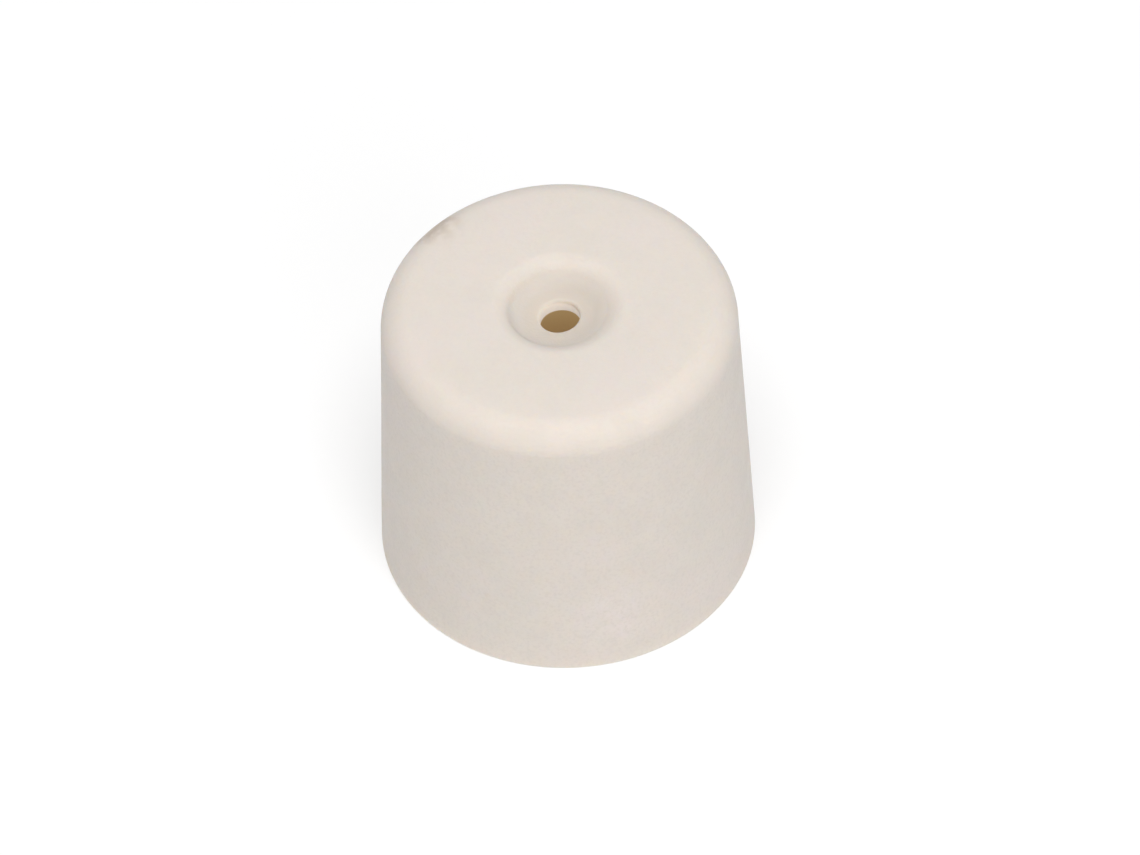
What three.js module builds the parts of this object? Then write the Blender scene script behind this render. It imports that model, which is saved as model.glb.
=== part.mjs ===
// A one-screw rubber door stop: a moulded rubber body with a steel washer held in a groove
// inside it. Millimetres, +Z up. The origin is the centre of the flat base.

import * as THREE from 'three';

// Body outside. The flat top eases down round its rim before it turns into the shoulder.
const baseRadius = 20;
const bodyHeight = 36;
const taperDegrees = 1.95;
const shoulderRadius = 3.3;
const easeRadius = 13.5;
const easeDegrees = 4;
const easeRounding = 57;
const baseEdgeRadius = 0.3;

// Dish in the top face
const dishRimRadius = 6.1;
const dishDepth = 2.05;
const dishWallDegrees = 50;
const dishFloorDegrees = 4;
const dishRimRounding = 2.5;
const dishFloorRounding = 3.1;

// Elastic lip that the screw's head is pushed through
const lipHoleRadius = 2.15;
const lipThickness = 1.65;
const lipEdgeRounding = 0.35;
const lipUndersideRounding = 0.2;

// Bore for the screw's head, and its mouth in the base
const boreRadius = 5.5;
const boreRoofRounding = 1;
const mouthRounding = 0.5;

// Steel washer in its groove
const washerRadius = 8;
const washerHoleRadius = 2.25;
const washerThickness = 1.5;
const washerEdge = 0.15;
const washerHeight = 3.5;
const gap = 0.3;

// Facets
const sectorsAround = 64;
const roundingTolerance = 0.04;

const radians = THREE.MathUtils.degToRad;

/** A corner of an outline: distance from the axis, height, and the radius it is rounded to. */
function corner(radius, height, rounding = 0) {
  return { point: new THREE.Vector2(radius, height), rounding };
}

/** The points of the arc that rounds one corner between its two neighbours. */
function roundedCorner(previous, { point, rounding }, next) {
  if (rounding === 0) {
    return [point.clone()];
  }
  const back = previous.point.clone().sub(point).normalize();
  const onward = next.point.clone().sub(point).normalize();
  const turn = Math.PI - back.angleTo(onward);
  const tangentLength = rounding * Math.tan(turn / 2);
  const centreDistance = rounding / Math.cos(turn / 2);
  const inward = back.clone().add(onward).normalize();
  const centre = point.clone().addScaledVector(inward, centreDistance);
  const first = point.clone().addScaledVector(back, tangentLength);
  const side = Math.sign(back.cross(onward));
  const longestStep = 2 * Math.acos(1 - Math.min(1, roundingTolerance / rounding));
  const steps = Math.ceil(turn / longestStep);
  return Array.from({ length: steps + 1 }, (_, i) => (
    first.clone().rotateAround(centre, side * -turn * (i / steps))
  ));
}

/** A closed outline turned once about the vertical axis. */
function turned(corners) {
  const count = corners.length;
  const outline = corners.flatMap((here, i) => (
    roundedCorner(corners[(i + count - 1) % count], here, corners[(i + 1) % count])
  ));
  outline.push(outline[0].clone());
  return new THREE.LatheGeometry(outline, sectorsAround).rotateX(Math.PI / 2);
}

/** One named piece of the object. */
function piece(name, geometry, finish) {
  const mesh = new THREE.Mesh(geometry, new THREE.MeshStandardMaterial(finish));
  mesh.name = name;
  return mesh;
}

/** The dish's corner where its wall meets its gently sloping floor. */
function dishCorner(holeHeight) {
  const wallSlope = Math.tan(radians(dishWallDegrees));
  const floorSlope = Math.tan(radians(dishFloorDegrees));
  const radius = (
    (holeHeight - bodyHeight + dishRimRadius * wallSlope - lipHoleRadius * floorSlope)
    / (wallSlope - floorSlope)
  );
  const height = holeHeight + (radius - lipHoleRadius) * floorSlope;
  return corner(radius, height, dishFloorRounding);
}

/** The shoulder's corner, where the tapered side meets the rim that eases down to it. */
function shoulderCorner() {
  const sideSlope = Math.tan(radians(taperDegrees));
  const easeSlope = Math.tan(radians(easeDegrees));
  const height = (
    (bodyHeight - (baseRadius - easeRadius) * easeSlope) / (1 - sideSlope * easeSlope)
  );
  return corner(baseRadius - height * sideSlope, height, shoulderRadius);
}

/** The rubber body, from the base's edge up the outside and back down the bore. */
function rubberBody() {
  const holeHeight = bodyHeight - dishDepth;
  const boreRoof = holeHeight - lipThickness;
  const grooveRadius = washerRadius + gap;
  const grooveFloor = washerHeight - gap;
  const grooveRoof = washerHeight + washerThickness + gap;
  return turned([
    corner(baseRadius, 0, baseEdgeRadius),
    shoulderCorner(),
    corner(easeRadius, bodyHeight, easeRounding),
    corner(dishRimRadius, bodyHeight, dishRimRounding),
    dishCorner(holeHeight),
    corner(lipHoleRadius, holeHeight, lipEdgeRounding),
    corner(lipHoleRadius, boreRoof, lipUndersideRounding),
    corner(boreRadius, boreRoof, boreRoofRounding),
    corner(boreRadius, grooveRoof),
    corner(grooveRadius, grooveRoof),
    corner(grooveRadius, grooveFloor),
    corner(boreRadius, grooveFloor),
    corner(boreRadius, 0, mouthRounding),
  ]);
}

/** The flat steel washer that the screw's head bears on. */
function seatWasher() {
  const top = washerHeight + washerThickness;
  return turned([
    corner(washerRadius, washerHeight, washerEdge),
    corner(washerRadius, top, washerEdge),
    corner(washerHoleRadius, top, washerEdge),
    corner(washerHoleRadius, washerHeight, washerEdge),
  ]);
}

const group = new THREE.Group();
group.add(
  piece('rubber_body', rubberBody(), { color: 0xe6ddd4, roughness: 0.85, metalness: 0 }),
  piece('seat_washer', seatWasher(), { color: 0xb9bab8, roughness: 0.35, metalness: 1 }),
);

export default group;
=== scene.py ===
"""A screw-down rubber door stop: a moulded body, its steel seat washer and a small studio."""

import math
from typing import NamedTuple

import bmesh
import bpy
from bpy.props import FloatProperty, FloatVectorProperty, IntProperty, PointerProperty
from mathutils import Matrix, Vector


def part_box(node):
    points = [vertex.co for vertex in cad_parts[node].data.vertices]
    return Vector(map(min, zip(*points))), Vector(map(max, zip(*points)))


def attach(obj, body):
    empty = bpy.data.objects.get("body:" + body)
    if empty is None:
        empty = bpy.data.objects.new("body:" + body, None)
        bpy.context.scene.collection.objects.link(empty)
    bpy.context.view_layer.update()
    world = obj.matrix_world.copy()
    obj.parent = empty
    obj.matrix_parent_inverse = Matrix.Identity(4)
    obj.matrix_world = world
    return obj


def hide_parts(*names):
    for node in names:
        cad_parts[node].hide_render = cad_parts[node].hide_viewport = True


bl_info = {
    "name": "Rubber Door Stop",
    "version": (1, 0, 0),
    "blender": (4, 5, 0),
    "location": "3D View > Sidebar > Door Stop",
    "description": "Models a screw-down rubber door stop, its seat washer and a small studio",
    "category": "Object",
}

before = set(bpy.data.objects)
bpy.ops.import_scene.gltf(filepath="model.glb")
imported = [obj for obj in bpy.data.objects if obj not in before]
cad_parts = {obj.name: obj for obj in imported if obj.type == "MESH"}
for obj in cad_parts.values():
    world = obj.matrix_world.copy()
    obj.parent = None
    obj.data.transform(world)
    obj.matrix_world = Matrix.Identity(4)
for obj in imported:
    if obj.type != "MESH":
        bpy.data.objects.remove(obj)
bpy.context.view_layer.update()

BODY_LOW, BODY_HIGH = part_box("rubber_body")
WASHER_LOW, WASHER_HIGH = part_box("seat_washer")
MM = 0.001
# Where the brownish blotchy patch sits: high on the back-left shoulder.
BROWN_PATCH_PLACE = (-13.2 * MM, 12.6 * MM, 33.9 * MM)
CHALK_PLACE = (4.6 * MM, -19.1 * MM, 7.5 * MM)


def length(name, description, default):
    """A size property, in metres."""
    return FloatProperty(
        name=name, description=description, default=default, min=0.0, precision=5, unit="LENGTH"
    )


def angle(name, description, degrees):
    """An angle property, from its default in degrees."""
    return FloatProperty(
        name=name, description=description, default=math.radians(degrees), subtype="ANGLE"
    )


def amount(name, description, default, highest=1.0):
    """A plain number property."""
    return FloatProperty(
        name=name, description=description, default=default, min=0.0, max=highest
    )


def colour(name, description, default):
    """A colour property, in linear values."""
    return FloatVectorProperty(
        name=name, description=description, default=default, min=0.0, max=1.0, subtype="COLOR"
    )


class DoorStopRubberSettings(bpy.types.PropertyGroup):
    """Sizes and colours of the moulded rubber body."""

    base_radius: length("Base Radius", "Radius of the flat base", BODY_HIGH[0])
    height: length("Height", "Height of the flat top above the base", BODY_HIGH[2])
    taper: angle("Taper", "How far the side leans inwards", 1.95)
    shoulder: length("Shoulder", "Rounding between the side and the top", 3.3 * MM)
    ease_radius: length("Ease Radius", "Where the flat top starts to fall away", 13.5 * MM)
    ease_angle: angle("Ease Angle", "How steeply the top falls away towards the shoulder", 4.0)
    ease_rounding: length("Ease Rounding", "Rounding where the top starts to fall away", 57 * MM)
    base_edge: length("Base Edge", "Rounding of the base's outer edge", 0.3 * MM)
    dish_rim: length("Dish Rim", "Radius of the dish at the flat top", 6.1 * MM)
    dish_depth: length("Dish Depth", "Depth of the dish at the hole", 2.05 * MM)
    dish_wall: angle("Dish Wall", "Slope of the dish's wall", 50.0)
    dish_floor: angle("Dish Floor", "Slope of the dish's floor", 4.0)
    dish_rim_rounding: length("Dish Rim Rounding", "Rounding of the dish's rim", 2.5 * MM)
    dish_floor_rounding: length("Dish Floor Rounding", "Rounding at the wall's foot", 3.1 * MM)
    hole: length("Hole", "Radius of the hole in the elastic lip", 2.15 * MM)
    lip: length("Lip", "Thickness of the elastic lip round the hole", 1.65 * MM)
    lip_edge: length("Lip Edge", "Rounding of the lip's upper edge", 0.35 * MM)
    lip_underside: length("Lip Underside", "Rounding of the lip's lower edge", 0.2 * MM)
    lip_tilt: angle("Lip Tilt", "How far the lip tips down to the left", 4.5)
    bore: length("Bore", "Radius of the bore under the lip", 5.5 * MM)
    bore_roof: length("Bore Roof", "Rounding at the top of the bore", 1.0 * MM)
    bore_mouth: length("Bore Mouth", "Rounding of the bore's mouth in the base", 0.5 * MM)
    groove_gap: length("Groove Gap", "Space round the washer in its groove", 0.3 * MM)
    unevenness: length("Unevenness", "How far the moulded skin swells in and out", 0.08 * MM)
    sectors: IntProperty(name="Sectors", description="Steps round the axis", default=160, min=16)
    softness: amount("Softness", "How much of the light spreads under the surface", 0.8)
    soak: length("Soak", "How far the light spreads under the surface", 2.2 * MM)
    rubber: colour("Rubber", "Off-white of the clean rubber", (0.722, 0.664, 0.606))
    shade: colour("Shade", "Darker off-white of the mottling", (0.703, 0.648, 0.59))
    blush: colour("Blush", "Faint pink of scattered patches", (0.724, 0.66, 0.612))
    # Brown of a blotchy patch high on the shoulder.
    brown_patch: colour("Stain", "Brown of the dirt on the shoulder", (0.42, 0.33, 0.25))
    chalk: colour("Chalk", "Paler pink of the patch low on the side", (0.755, 0.685, 0.655))
    # Painted shade: the fine grain's pores darkened as if in small shadows, strongest down the
    # side where light grazes.
    pores: colour("Pores", "Darker off-white in the pores of the sandy side", (0.635, 0.58, 0.53))
    # Painted shade: the dish's hollow darkened, most towards its middle.
    dish: colour("Dish", "Darker off-white of the handled dish", (0.62, 0.558, 0.49))
    # Painted light: a glow on the wall of the lip's hole, given as emission.
    lip_glow: colour("Lip Glow", "Light that soaks through to the hole", (0.385, 0.385, 0.372))
    # Painted light: an amber glow in the bore, paler just under the lip, standing in for light
    # that soaks through the rubber.
    glow: colour("Glow", "Amber of the light that soaks into the bore", (0.267, 0.172, 0.074))
    glow_under_lip: colour("Haze", "Paler amber just under the lip", (0.315, 0.222, 0.108))
    bright_above: length("Bright Above", "Height where the bore glows fully", 30 * MM)
    dark_below: length("Dark Below", "Height where the bore's glow has faded out", 15 * MM)


class DoorStopWasherSettings(bpy.types.PropertyGroup):
    """Sizes and colours of the steel washer inside the body."""

    radius: length("Radius", "Outer radius of the washer", WASHER_HIGH[0])
    hole: length("Hole", "Radius of the washer's hole", 2.25 * MM)
    punched_edge: length("Punched Edge", "Rounding of the top edges", 0.25 * MM)
    sheared_edge: length("Sheared Edge", "Rounding of the bottom edges", 0.08 * MM)
    sectors: IntProperty(name="Sectors", description="Steps round the axis", default=128, min=16)
    zinc: colour("Zinc", "Colour of the dull zinc plating", (0.70, 0.70, 0.68))
    tarnish: colour("Tarnish", "Colour of the duller patches", (0.52, 0.51, 0.48))


class DoorStopStudioSettings(bpy.types.PropertyGroup):
    """Place of the camera, strength of the lights and colour of the floor."""

    elevation: angle("Elevation", "How far above the floor the camera stands", 48.8)
    roll: angle("Roll", "How far the camera is turned about its own axis", 2.5)
    distance: length("Distance", "From the camera to the middle of the part", 1.667)
    aim_right: length("Aim Right", "How far right of the part the camera aims", 0.68 * MM)
    aim_down: length("Aim Down", "How far below the part's middle the camera aims", 1.25 * MM)
    lens: amount("Lens", "Focal length in millimetres", 495.8, highest=2000.0)
    sky: amount("Sky", "Strength of the soft light from all round", 0.265, highest=5.0)
    key: amount("Key", "Power of the large lamp overhead, in watts", 18.9, highest=100.0)
    key_height: angle("Key Height", "How high above the floor the large lamp hangs", 75.0)
    fill: amount("Fill", "Power of the weaker lamp at the right, in watts", 4.0, highest=100.0)
    fill_height: angle("Fill Height", "How high above the floor the weaker lamp hangs", 35.0)
    fill_side: angle("Fill Side", "How far right of the camera the weaker lamp hangs", 22.0)
    lamp_size: length("Lamp Size", "Width of each round lamp", 1.0)
    lamp_distance: length("Lamp Distance", "From each lamp to the part", 1.5)
    floor: colour("Floor", "Colour of the plain floor", (0.5, 0.5, 0.5))
    floor_light: amount("Floor Light", "Light from under the translucent floor", 0.48)


class Corner(NamedTuple):
    """A corner of an outline, and the radius that it is rounded to."""

    radius: float
    height: float
    rounding: float = 0.0

    @property
    def place(self):
        """The corner in the plane that the outline is drawn in."""
        return Vector((self.radius, 0.0, self.height))


# Outlines turned about the vertical axis


def deselect_everything():
    """Clear the selection, so that an operator acts only on the new piece."""
    bpy.ops.object.select_all(action="DESELECT")


def select_vertices(piece, wanted):
    """Select the vertices whose place passes the test, and nothing else."""
    bpy.ops.mesh.select_mode(type="VERT")
    bpy.ops.mesh.select_all(action="DESELECT")
    mesh = bmesh.from_edit_mesh(piece.data)
    for vertex in mesh.verts:
        vertex.select = wanted(vertex.co)
    mesh.select_flush_mode()
    bmesh.update_edit_mesh(piece.data)


def near(place):
    """A test for vertices that lie at one place."""
    return lambda other: (other - place).length < 0.001 * MM


def start_outline(name, first):
    """Add a piece of one vertex at the first corner, and leave it in edit mode."""
    deselect_everything()
    bpy.ops.mesh.primitive_plane_add(size=MM, location=first.place)
    piece = bpy.context.active_object
    piece.name = name
    piece.data.name = name
    bpy.ops.object.transform_apply(location=True, rotation=True, scale=True)
    bpy.ops.object.mode_set(mode="EDIT")
    bpy.ops.mesh.select_all(action="SELECT")
    bpy.ops.mesh.merge(type="CENTER")
    return piece


def draw_outline(piece, corners):
    """Extrude the single vertex from corner to corner, and close the outline."""
    for here, there in zip(corners, corners[1:]):
        step = there.place - here.place
        bpy.ops.mesh.extrude_vertices_move(TRANSFORM_OT_translate={"value": step})
    first, last = near(corners[0].place), near(corners[-1].place)
    select_vertices(piece, lambda place: first(place) or last(place))
    bpy.ops.mesh.edge_face_add()


def round_corners(piece, corners, finest):
    """Bevel each corner of the outline to its own radius."""
    following = corners[1:] + corners[:1]
    previous = corners[-1:] + corners[:-1]
    for before, here, after in zip(previous, corners, following):
        if here.rounding == 0.0:
            continue
        turn = (here.place - before.place).angle(after.place - here.place)
        steps = max(math.ceil(turn / math.radians(12)), math.ceil(turn * here.rounding / finest))
        select_vertices(piece, near(here.place))
        bpy.ops.mesh.bevel(
            affect="VERTICES",
            offset=here.rounding * math.tan(turn / 2),
            segments=steps,
            profile=0.5,
        )


def split_long_edges(piece, longest):
    """Subdivide the straight runs of the outline into steps no longer than this."""
    mesh = bmesh.from_edit_mesh(piece.data)
    most = max(math.ceil(edge.calc_length() / longest) for edge in mesh.edges)
    bpy.ops.mesh.select_mode(type="EDGE")
    for steps in range(most, 1, -1):
        bpy.ops.mesh.select_all(action="DESELECT")
        mesh = bmesh.from_edit_mesh(piece.data)
        for edge in mesh.edges:
            edge.select = math.ceil(edge.calc_length() / longest - 0.001) == steps
        bmesh.update_edit_mesh(piece.data)
        if any(edge.select for edge in mesh.edges):
            bpy.ops.mesh.subdivide(number_cuts=steps - 1)


def spin_outline(piece, sectors):
    """Turn the outline once about the vertical axis into a closed, outward-facing skin."""
    bpy.ops.mesh.select_mode(type="VERT")
    bpy.ops.mesh.select_all(action="SELECT")
    bpy.ops.mesh.spin(
        steps=sectors, angle=math.tau, center=(0, 0, 0), axis=(0, 0, 1), use_auto_merge=True
    )
    bpy.ops.mesh.select_all(action="SELECT")
    bpy.ops.mesh.remove_doubles(threshold=0.0001 * MM)
    bpy.ops.mesh.normals_make_consistent(inside=False)
    open_edges = sum(not edge.is_manifold for edge in bmesh.from_edit_mesh(piece.data).edges)
    if open_edges:
        raise RuntimeError(f"{piece.name} has {open_edges} open edges")


def turned_piece(name, corners, sectors, longest):
    """A piece made by turning a rounded outline about the vertical axis."""
    piece = start_outline(name, corners[0])
    draw_outline(piece, corners)
    round_corners(piece, corners, finest=longest / 2)
    split_long_edges(piece, longest)
    spin_outline(piece, sectors)
    bpy.ops.object.mode_set(mode="OBJECT")
    return piece


def apply_modifier(piece, kind, **settings):
    """Add a modifier to the piece, set it and apply it."""
    modifier = piece.modifiers.new(kind.title(), kind)
    for name, value in settings.items():
        setattr(modifier, name, value)
    bpy.ops.object.modifier_apply(modifier=modifier.name)


def smooth(piece, sharpest):
    """Shade the piece smooth, except across edges sharper than this angle."""
    bpy.ops.object.shade_smooth_by_angle(angle=sharpest)
    apply_modifier(piece, "WEIGHTED_NORMAL", keep_sharp=True)


# Rubber body


def shoulder_corner(rubber):
    """The corner where the tapered side meets the easing top."""
    side_slope = math.tan(rubber.taper)
    ease_slope = math.tan(rubber.ease_angle)
    fall = (rubber.base_radius - rubber.ease_radius) * ease_slope
    height = (rubber.height - fall) / (1 - side_slope * ease_slope)
    return Corner(rubber.base_radius - height * side_slope, height, rubber.shoulder)


def dish_corner(rubber, hole_height):
    """The corner where the dish's wall meets its sloping floor."""
    wall_slope = math.tan(rubber.dish_wall)
    floor_slope = math.tan(rubber.dish_floor)
    radius = (
        hole_height - rubber.height + rubber.dish_rim * wall_slope - rubber.hole * floor_slope
    ) / (wall_slope - floor_slope)
    height = hole_height + (radius - rubber.hole) * floor_slope
    return Corner(radius, height, rubber.dish_floor_rounding)


def bore_roof_height(rubber):
    """The height of the lip's underside, where the bore ends."""
    return rubber.height - rubber.dish_depth - rubber.lip


def rubber_corners(rubber):
    """The body's outline, up the outside and back down the bore."""
    hole_height = rubber.height - rubber.dish_depth
    roof = bore_roof_height(rubber)
    groove = WASHER_HIGH[0] + rubber.groove_gap
    groove_floor = WASHER_LOW[2] - rubber.groove_gap
    groove_roof = WASHER_HIGH[2] + rubber.groove_gap
    return [
        Corner(rubber.base_radius, 0.0, rubber.base_edge),
        shoulder_corner(rubber),
        Corner(rubber.ease_radius, rubber.height, rubber.ease_rounding),
        Corner(rubber.dish_rim, rubber.height, rubber.dish_rim_rounding),
        dish_corner(rubber, hole_height),
        Corner(rubber.hole, hole_height, rubber.lip_edge),
        Corner(rubber.hole, roof, rubber.lip_underside),
        Corner(rubber.bore, roof, rubber.bore_roof),
        Corner(rubber.bore, groove_roof),
        Corner(groove, groove_roof),
        Corner(groove, groove_floor),
        Corner(rubber.bore, groove_floor),
        Corner(rubber.bore, 0.0, rubber.bore_mouth),
    ]


def tilt_lip(piece, rubber):
    """Tip the lip and the dish's floor a little to one side, as the mould left them."""
    roof = bore_roof_height(rubber)
    bpy.ops.object.mode_set(mode="EDIT")
    select_vertices(
        piece, lambda place: place.z > roof - 0.1 * MM and place.xy.length < rubber.hole * 2
    )
    bpy.ops.transform.rotate(
        value=rubber.lip_tilt,
        orient_axis="Y",
        center_override=(0.0, 0.0, roof + rubber.lip),
        use_proportional_edit=True,
        proportional_edit_falloff="SMOOTH",
        proportional_size=rubber.hole,
    )
    bpy.ops.object.mode_set(mode="OBJECT")


def on_skin(place, rubber):
    """Whether a place is on the moulded outside, clear of the dish, the base and the bore."""
    radius = place.xy.length
    clear = place.z > 1 * MM and radius > rubber.dish_rim + 1 * MM
    return clear and (radius > 12 * MM or place.z > rubber.height - 1 * MM)


def swell_skin(piece, rubber):
    """Give the moulded outside its slight swells and hollows."""
    skin = piece.vertex_groups.new(name="skin")
    outside = [vertex.index for vertex in piece.data.vertices if on_skin(vertex.co, rubber)]
    skin.add(outside, 1.0, "REPLACE")
    swells = bpy.data.textures.new("swells", "CLOUDS")
    swells.noise_scale = 11 * MM
    swells.noise_depth = 1
    apply_modifier(
        piece,
        "DISPLACE",
        texture=swells,
        texture_coords="LOCAL",
        strength=rubber.unevenness,
        mid_level=0.5,
        vertex_group=skin.name,
    )


# Materials


def new_material(name):
    """A node material with its own tree, and the tree's shader."""
    material = bpy.data.materials.new(name)
    material.use_nodes = True
    return material, material.node_tree, material.node_tree.nodes["Principled BSDF"]


def add_node(tree, kind, place, **settings):
    """Add a node at a place in the tree, with its settings."""
    node = tree.nodes.new(kind)
    node.location = place
    for name, value in settings.items():
        setattr(node, name, value)
    return node


def set_inputs(node, **values):
    """Set a node's inputs by name, with an underscore for each space."""
    for name, value in values.items():
        node.inputs[name.replace("_", " ")].default_value = value


def noise(tree, place, vector, scale, detail=2.0, roughness=0.5):
    """A noise texture over a vector, as a plain value."""
    node = add_node(tree, "ShaderNodeTexNoise", place)
    set_inputs(node, Scale=scale, Detail=detail, Roughness=roughness)
    tree.links.new(vector, node.inputs["Vector"])
    return node.outputs["Fac"]


def spread(tree, place, value, low, high, to_low=0.0, to_high=1.0):
    """Map a value smoothly from one range to another, and clamp it."""
    node = add_node(tree, "ShaderNodeMapRange", place, interpolation_type="SMOOTHSTEP")
    set_inputs(node, From_Min=low, From_Max=high, To_Min=to_low, To_Max=to_high)
    tree.links.new(value, node.inputs["Value"])
    return node.outputs["Result"]


def multiply(tree, place, first, second):
    """Multiply two values, either of which may be a plain number."""
    node = add_node(tree, "ShaderNodeMath", place, operation="MULTIPLY")
    for socket, value in zip(node.inputs, (first, second)):
        if isinstance(value, float):
            socket.default_value = value
        else:
            tree.links.new(value, socket)
    return node.outputs["Value"]


def blend_colour(tree, place, factor, first, second):
    """Blend from the first colour to the second, either linked or plain."""
    node = add_node(tree, "ShaderNodeMix", place, data_type="RGBA")
    tree.links.new(factor, node.inputs["Factor"])
    colours = [socket for socket in node.inputs if socket.type == "RGBA"]
    for socket, value in zip(colours, (first, second)):
        if isinstance(value, bpy.types.NodeSocket):
            tree.links.new(value, socket)
        else:
            socket.default_value = (*value, 1.0)
    return next(socket for socket in node.outputs if socket.type == "RGBA")


def moulded_surface_group():
    """The shared surface effect: a fine grain for bumps and a broad mottling for colour."""
    group = bpy.data.node_groups.new("Surface Grain", "ShaderNodeTree")
    for name, kind in (("Vector", "Vector"), ("Grain Scale", "Float"), ("Mottle Scale", "Float")):
        group.interface.new_socket(name, in_out="INPUT", socket_type=f"NodeSocket{kind}")
    for name in ("Grain", "Mottle"):
        group.interface.new_socket(name, in_out="OUTPUT", socket_type="NodeSocketFloat")
    given = add_node(group, "NodeGroupInput", (-600, 0))
    result = add_node(group, "NodeGroupOutput", (300, 0))
    for name, detail, height in (("Grain", 3.0, 150), ("Mottle", 4.0, -150)):
        texture = add_node(group, "ShaderNodeTexNoise", (-200, height))
        set_inputs(texture, Detail=detail, Roughness=0.6)
        group.links.new(given.outputs["Vector"], texture.inputs["Vector"])
        group.links.new(given.outputs[f"{name} Scale"], texture.inputs["Scale"])
        group.links.new(texture.outputs["Fac"], result.inputs[name])
    return group


def place_surface_group(tree, group, vector, grain_scale, mottle_scale):
    """Put the shared surface effect in a material, with its own scales."""
    node = add_node(tree, "ShaderNodeGroup", (-1000, 0), node_tree=group)
    set_inputs(node, Grain_Scale=grain_scale, Mottle_Scale=mottle_scale)
    tree.links.new(vector, node.inputs["Vector"])
    return node.outputs["Grain"], node.outputs["Mottle"]


def add_bump(tree, shader, height, strength, distance):
    """Raise the shader's surface by a height."""
    bump = add_node(tree, "ShaderNodeBump", (-250, -400))
    set_inputs(bump, Strength=strength, Distance=distance)
    tree.links.new(height, bump.inputs["Height"])
    tree.links.new(bump.outputs["Normal"], shader.inputs["Normal"])


def distance_to(tree, place, vector, point):
    """How far the surface is from a point."""
    apart = add_node(tree, "ShaderNodeVectorMath", place, operation="DISTANCE")
    apart.inputs[1].default_value = point
    tree.links.new(vector, apart.inputs[0])
    return apart.outputs["Value"]


def smudge(tree, row, vector, point, reach, strength):
    """A blotchy mark round a point, fading out over its reach."""
    apart = distance_to(tree, (-1000, row), vector, point)
    close = spread(tree, (-800, row), apart, reach, reach * 0.2)
    cloud = noise(tree, (-1000, row - 250), vector, scale=700.0, detail=4.0)
    blotches = spread(tree, (-800, row - 250), cloud, 0.25, 0.65)
    mark = multiply(tree, (-600, row), close, blotches)
    return multiply(tree, (-450, row), mark, strength)


def axis_distance(tree, vector):
    """How far the surface is from the part's axis, and its height."""
    split = add_node(tree, "ShaderNodeSeparateXYZ", (-1400, -1000))
    tree.links.new(vector, split.inputs["Vector"])
    level = add_node(tree, "ShaderNodeCombineXYZ", (-1200, -1000))
    tree.links.new(split.outputs["X"], level.inputs["X"])
    tree.links.new(split.outputs["Y"], level.inputs["Y"])
    radius = add_node(tree, "ShaderNodeVectorMath", (-1000, -1000), operation="LENGTH")
    tree.links.new(level.outputs["Vector"], radius.inputs[0])
    return radius.outputs["Value"], split.outputs["Z"]


def bore_glow_mask(tree, radius, height, rubber):
    """Where the painted amber glow shows: under the lip, fading down the bore."""
    roof = bore_roof_height(rubber)
    inside = spread(tree, (-600, -1000), radius, rubber.bore + 1.0 * MM, rubber.bore + 0.2 * MM)
    below = spread(tree, (-600, -1250), height, roof + 0.2 * MM, roof + 0.05 * MM)
    above = spread(tree, (-600, -1500), height, rubber.dark_below, rubber.bright_above)
    under_lip = multiply(tree, (-400, -1100), inside, below)
    return multiply(tree, (-250, -1100), under_lip, above)


def lip_glow_mask(tree, radius, height, rubber):
    """Where the painted glow of light soaking through the thin lip shows: on the wall of its
    hole.
    """
    top = rubber.height - rubber.dish_depth
    edge = rubber.hole
    in_hole = spread(tree, (-600, -1800), radius, edge + 0.3 * MM, edge + 0.05 * MM)
    below_edge = spread(tree, (-600, -2050), height, top - 0.05 * MM, top - 0.55 * MM)
    return multiply(tree, (-400, -1900), in_hole, below_edge)


def mottled_colour(tree, vector, mottle, rubber):
    """Clean rubber with darker mottling and a few faint pink patches."""
    shaded = spread(tree, (-800, 0), mottle, 0.35, 0.7)
    clean = blend_colour(tree, (-600, 100), shaded, rubber.rubber, rubber.shade)
    cloud = noise(tree, (-1000, 300), vector, scale=90.0)
    patches = spread(tree, (-800, 300), cloud, 0.5, 0.75)
    return blend_colour(tree, (-450, 200), patches, clean, rubber.blush)


def marked_colour(tree, vector, clean, rubber):
    """Add the brownish blotchy patch high on the shoulder and the paler patch low on the side."""
    blotching = smudge(tree, -400, vector, BROWN_PATCH_PLACE, reach=5.0 * MM, strength=0.65)
    browned = blend_colour(tree, (-300, 100), blotching, clean, rubber.brown_patch)
    rubbed = smudge(tree, -650, vector, CHALK_PLACE, reach=7.0 * MM, strength=0.8)
    return blend_colour(tree, (-250, 150), rubbed, browned, rubber.chalk)


def grain_shaded_colour(tree, grain, height, plain, rubber):
    """Paint shade into the pores of the fine grain: strongly down the side, where light grazes,
    faintly on the top.
    """
    top = rubber.height
    pores = spread(tree, (-800, 800), grain, 0.42, 0.75, 0.0, 0.5)
    grazing_lit = spread(tree, (-800, 1050), height, top - 1.5 * MM, top - 4.5 * MM, 0.3, 1.0)
    painted_grain_shade = multiply(tree, (-600, 900), pores, grazing_lit)
    return blend_colour(tree, (-230, 300), painted_grain_shade, plain, rubber.pores)


def dish_shaded_colour(tree, vector, plain, rubber):
    """Paint shade into the dish: darker and browner towards its middle, fading out up its wall.
    """
    middle = (0.3 * MM, 0.2 * MM, rubber.height - rubber.dish_depth)
    from_middle = distance_to(tree, (-800, 550), vector, middle)
    dish_shade_mask = spread(tree, (-450, 400), from_middle, rubber.dish_rim * 1.05, rubber.hole * 1.5)
    return blend_colour(tree, (-200, 200), dish_shade_mask, plain, rubber.dish)


def amber_glow_colour(tree, height, rubber):
    """The painted amber glow inside the bore, paler just under the lip."""
    roof = bore_roof_height(rubber)
    under_roof = spread(tree, (-800, -1300), height, roof - 7.5 * MM, roof - 3.5 * MM)
    return blend_colour(tree, (-600, -1400), under_roof, rubber.glow, rubber.glow_under_lip)


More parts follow.
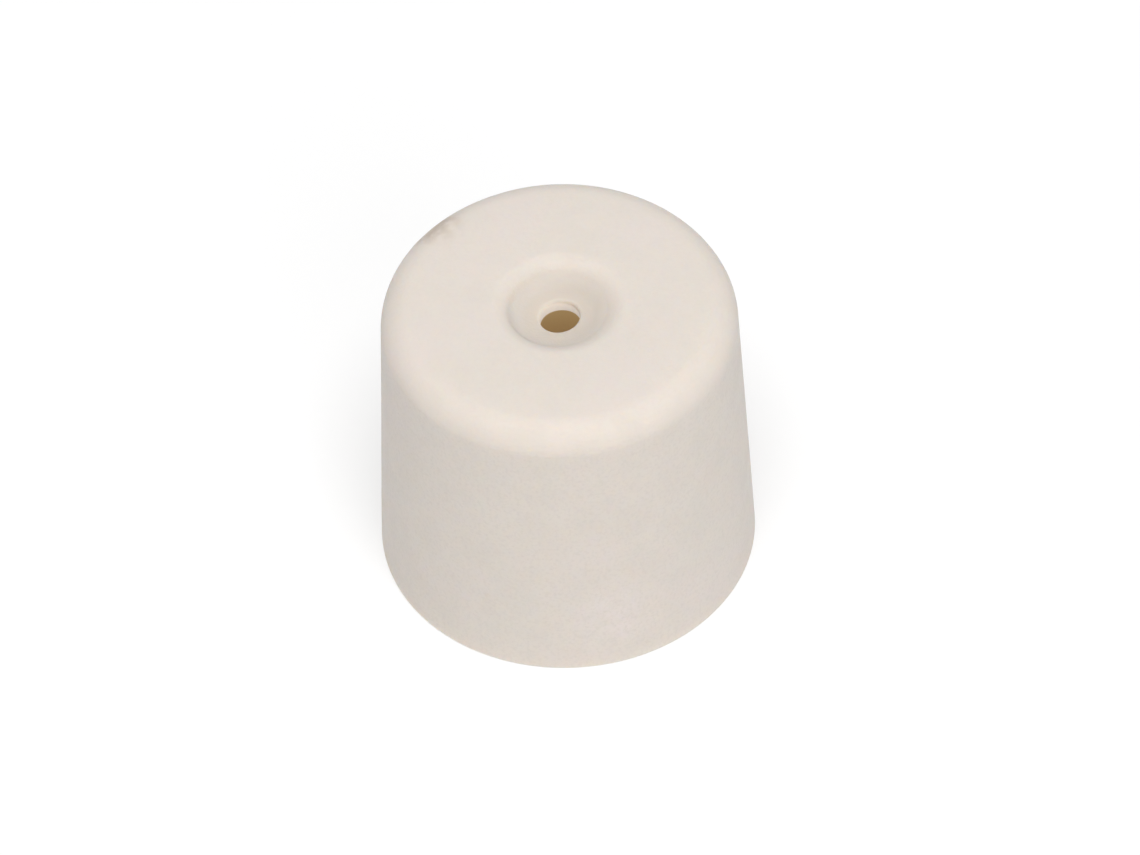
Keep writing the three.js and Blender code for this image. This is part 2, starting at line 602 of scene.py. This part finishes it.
def rubber_material(rubber, group):
    """Matt moulded rubber: off-white, faintly mottled, with painted shade in the grain's pores
    and in the dish, and a painted amber glow in the bore.
    """
    material, tree, shader = new_material("off_white_rubber")
    vector = add_node(tree, "ShaderNodeTexCoord", (-1600, 0)).outputs["Object"]
    radius, height = axis_distance(tree, vector)
    grain, mottle = place_surface_group(tree, group, vector, 2600.0, 260.0)

    mottled = mottled_colour(tree, vector, mottle, rubber)
    marked = marked_colour(tree, vector, mottled, rubber)
    grain_shaded = grain_shaded_colour(tree, grain, height, marked, rubber)
    dish_shaded = dish_shaded_colour(tree, vector, grain_shaded, rubber)
    in_bore = bore_glow_mask(tree, radius, height, rubber)
    amber_glow = amber_glow_colour(tree, height, rubber)
    # The bore's base colour takes the painted amber glow too.
    surface = blend_colour(tree, (-100, 100), in_bore, dish_shaded, amber_glow)
    tree.links.new(surface, shader.inputs["Base Color"])

    # Painted light: emission on the lip's hole wall and in the bore.
    on_lip = lip_glow_mask(tree, radius, height, rubber)
    painted_lip_glow = blend_colour(tree, (-250, -150), on_lip, (0, 0, 0), rubber.lip_glow)
    glowing = blend_colour(tree, (-100, -150), in_bore, painted_lip_glow, amber_glow)
    tree.links.new(glowing, shader.inputs["Emission Color"])
    set_inputs(shader, Emission_Strength=0.75, Specular_IOR_Level=0.35)

    set_inputs(shader, Subsurface_Weight=rubber.softness, Subsurface_Scale=rubber.soak)
    set_inputs(shader, Subsurface_Radius=(1.0, 0.7, 0.45))
    rough = spread(tree, (-450, -200), mottle, 0.3, 0.7, 0.62, 0.78)
    tree.links.new(rough, shader.inputs["Roughness"])
    add_bump(tree, shader, grain, strength=0.8, distance=0.045 * MM)
    return material


def washer_material(washer, group):
    """Dull zinc-plated steel with cloudy patches."""
    material, tree, shader = new_material("zinc_plated_steel")
    vector = add_node(tree, "ShaderNodeTexCoord", (-1400, 0)).outputs["Object"]
    grain, mottle = place_surface_group(tree, group, vector, 4000.0, 500.0)
    cloudy = spread(tree, (-600, 0), mottle, 0.4, 0.65)
    plating = blend_colour(tree, (-400, 0), cloudy, washer.zinc, washer.tarnish)
    tree.links.new(plating, shader.inputs["Base Color"])
    rough = spread(tree, (-400, -200), mottle, 0.3, 0.7, 0.32, 0.5)
    tree.links.new(rough, shader.inputs["Roughness"])
    set_inputs(shader, Metallic=1.0)
    add_bump(tree, shader, grain, strength=0.4, distance=0.02 * MM)
    return material


def surface_grain():
    """The shared surface group, built the first time that it is asked for."""
    return bpy.data.node_groups.get("Surface Grain") or moulded_surface_group()


# Studio


def look_along(studio):
    """The camera's turn: along +Y, down by its elevation, then about its own axis."""
    pitch = Matrix.Rotation(math.pi / 2 - studio.elevation, 3, "X")
    return pitch @ Matrix.Rotation(-studio.roll, 3, "Z")


def add_camera(studio):
    """Stand a long-lens camera in front of the part and above it."""
    turn = look_along(studio)
    middle = Vector((0.0, 0.0, (BODY_LOW[2] + BODY_HIGH[2]) / 2))
    offset = Vector((studio.aim_right, -studio.aim_down, studio.distance))
    bpy.ops.object.camera_add(location=middle + turn @ offset, rotation=turn.to_euler())
    camera = bpy.context.active_object
    camera.name = "camera"
    camera.data.lens = studio.lens
    camera.data.sensor_width = 36.0
    camera.data.clip_start = 0.05
    camera.data.clip_end = 20.0
    bpy.context.scene.camera = camera


def add_lamp(studio, name, power, height, side):
    """Hang a large soft lamp at this angle above the floor and right of the camera."""
    level = math.cos(height)
    away = Vector((level * math.sin(side), -level * math.cos(side), math.sin(height)))
    bpy.ops.object.light_add(
        type="AREA",
        location=away * studio.lamp_distance,
        rotation=away.to_track_quat("Z", "Y").to_euler(),
    )
    lamp = bpy.context.active_object
    lamp.name = name
    lamp.data.energy = power
    lamp.data.shape = "DISK"
    lamp.data.size = studio.lamp_size


def add_sky(studio):
    """Light the part softly from all round, behind a plain white backdrop."""
    world = bpy.data.worlds.new("soft_sky")
    world.use_nodes = True
    tree = world.node_tree
    output = tree.nodes["World Output"]
    light = tree.nodes["Background"]
    set_inputs(light, Color=(1.0, 1.0, 1.0, 1.0), Strength=studio.sky)
    backdrop = add_node(tree, "ShaderNodeBackground", (0, -200))
    set_inputs(backdrop, Color=(1.0, 1.0, 1.0, 1.0), Strength=1.0)
    seen = add_node(tree, "ShaderNodeLightPath", (0, 300))
    choice = add_node(tree, "ShaderNodeMixShader", (200, 0))
    tree.links.new(seen.outputs["Is Camera Ray"], choice.inputs["Fac"])
    tree.links.new(light.outputs["Background"], choice.inputs[1])
    tree.links.new(backdrop.outputs["Background"], choice.inputs[2])
    tree.links.new(choice.outputs["Shader"], output.inputs["Surface"])
    bpy.context.scene.world = world


def add_floor(studio):
    """Lay a plain pale floor under the part."""
    deselect_everything()
    bpy.ops.mesh.primitive_plane_add(size=6.0, location=(0, 0, BODY_LOW[2] - 0.02 * MM))
    floor = bpy.context.active_object
    floor.name = "floor"
    bpy.ops.object.transform_apply(location=True, rotation=True, scale=True)
    material, tree, shader = new_material("pale_floor")
    vector = add_node(tree, "ShaderNodeTexCoord", (-700, 0)).outputs["Object"]
    cloud = spread(tree, (-400, 0), noise(tree, (-550, 0), vector, scale=3.0), 0.3, 0.7)
    paler = [min(1.0, value * 1.01) for value in studio.floor]
    clouded = blend_colour(tree, (-200, 0), cloud, studio.floor, paler)
    tree.links.new(clouded, shader.inputs["Base Color"])
    set_inputs(shader, Roughness=0.9, Specular_IOR_Level=0.1)
    set_inputs(shader, Emission_Color=(1.0, 1.0, 1.0, 1.0), Emission_Strength=studio.floor_light)
    floor.data.materials.append(material)


# Operators and panel


class DOORSTOP_OT_add_rubber_body(bpy.types.Operator):
    """Model the moulded rubber body"""

    bl_idname = "door_stop.add_rubber_body"
    bl_label = "Add Rubber Body"

    def execute(self, context):
        """Turn the body's outline, even out its shading and give it its rubber."""
        rubber = context.scene.door_stop_rubber
        body = turned_piece("moulded_body", rubber_corners(rubber), rubber.sectors, 0.8 * MM)
        tilt_lip(body, rubber)
        swell_skin(body, rubber)
        smooth(body, math.radians(50))
        body.data.materials.append(rubber_material(rubber, surface_grain()))
        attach(body, "root")
        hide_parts("rubber_body")
        return {"FINISHED"}


class DOORSTOP_OT_add_seat_washer(bpy.types.Operator):
    """Model the steel washer that the screw's head bears on"""

    bl_idname = "door_stop.add_seat_washer"
    bl_label = "Add Seat Washer"

    def execute(self, context):
        """Turn the washer's outline and give it its plating."""
        washer = context.scene.door_stop_washer
        low, high = WASHER_LOW[2], WASHER_HIGH[2]
        corners = [
            Corner(washer.radius, low, washer.sheared_edge),
            Corner(washer.radius, high, washer.punched_edge),
            Corner(washer.hole, high, washer.punched_edge),
            Corner(washer.hole, low, washer.sheared_edge),
        ]
        plate = turned_piece("zinc_washer", corners, washer.sectors, 0.6 * MM)
        smooth(plate, math.radians(50))
        plate.data.materials.append(washer_material(washer, surface_grain()))
        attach(plate, "root")
        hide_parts("seat_washer")
        return {"FINISHED"}


class DOORSTOP_OT_set_up_studio(bpy.types.Operator):
    """Lay the floor, hang the lights and stand the camera"""

    bl_idname = "door_stop.set_up_studio"
    bl_label = "Set Up Studio"

    def execute(self, context):
        """Build the whole stage round the part."""
        studio = context.scene.door_stop_studio
        add_floor(studio)
        add_sky(studio)
        add_lamp(studio, "key", studio.key, studio.key_height, 0.0)
        add_lamp(studio, "fill", studio.fill, studio.fill_height, studio.fill_side)
        add_camera(studio)
        context.scene.view_settings.view_transform = "Standard"
        return {"FINISHED"}


class DOORSTOP_PT_sidebar(bpy.types.Panel):
    """The part's settings and its buttons"""

    bl_idname = "DOORSTOP_PT_sidebar"
    bl_label = "Door Stop"
    bl_space_type = "VIEW_3D"
    bl_region_type = "UI"
    bl_category = "Door Stop"

    def draw(self, context):
        """List each group of settings above its button."""
        for operator, settings in (
            (DOORSTOP_OT_add_rubber_body, context.scene.door_stop_rubber),
            (DOORSTOP_OT_add_seat_washer, context.scene.door_stop_washer),
            (DOORSTOP_OT_set_up_studio, context.scene.door_stop_studio),
        ):
            box = self.layout.box()
            for name in settings.__annotations__:
                box.prop(settings, name)
            box.operator(operator.bl_idname)


CLASSES = (
    DoorStopRubberSettings,
    DoorStopWasherSettings,
    DoorStopStudioSettings,
    DOORSTOP_OT_add_rubber_body,
    DOORSTOP_OT_add_seat_washer,
    DOORSTOP_OT_set_up_studio,
    DOORSTOP_PT_sidebar,
)


def register():
    """Register the classes and give the scene its settings."""
    for each in CLASSES:
        bpy.utils.register_class(each)
    bpy.types.Scene.door_stop_rubber = PointerProperty(type=DoorStopRubberSettings)
    bpy.types.Scene.door_stop_washer = PointerProperty(type=DoorStopWasherSettings)
    bpy.types.Scene.door_stop_studio = PointerProperty(type=DoorStopStudioSettings)


def unregister():
    """Take the settings and the classes away again."""
    del bpy.types.Scene.door_stop_studio
    del bpy.types.Scene.door_stop_washer
    del bpy.types.Scene.door_stop_rubber
    for each in reversed(CLASSES):
        bpy.utils.unregister_class(each)


def main():
    """Build the part and its studio."""
    register()
    bpy.ops.door_stop.add_rubber_body()
    bpy.ops.door_stop.add_seat_washer()
    bpy.ops.door_stop.set_up_studio()


if __name__ == "__main__":
    main()
